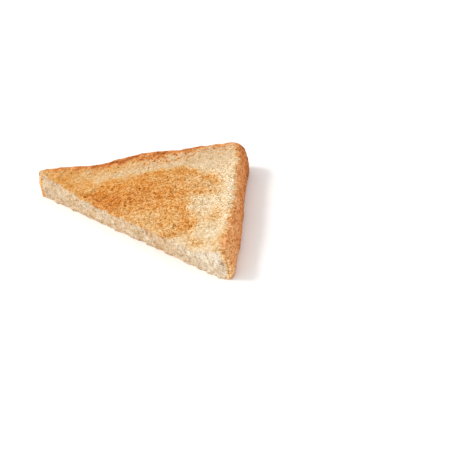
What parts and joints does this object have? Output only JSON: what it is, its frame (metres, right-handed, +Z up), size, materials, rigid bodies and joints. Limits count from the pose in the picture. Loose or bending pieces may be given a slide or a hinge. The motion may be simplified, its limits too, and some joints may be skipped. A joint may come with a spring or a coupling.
{
  "type": "half slice of buttered toast",
  "caption": "Triangular half of a square slice of toasted sandwich bread, buttered on top, with a browned crust on two sides and pale crumb along the diagonal cut.",
  "frame": {"origin": "on the surface that the toast lies on, under the middle of its bounding box", "axes": "+X along the diagonal cut, +Y from the cut towards the square corner, +Z up through the buttered face"},
  "size_m": [0.1528, 0.0792, 0.0172],
  "materials": {
    "toasted_bread": "rough toasted crumb, golden brown with pale margins, a faint butter gloss on the upper face"
  },
  "bodies": {
    "root": {"toast": "toasted_bread"}
  },
  "joints": []
}
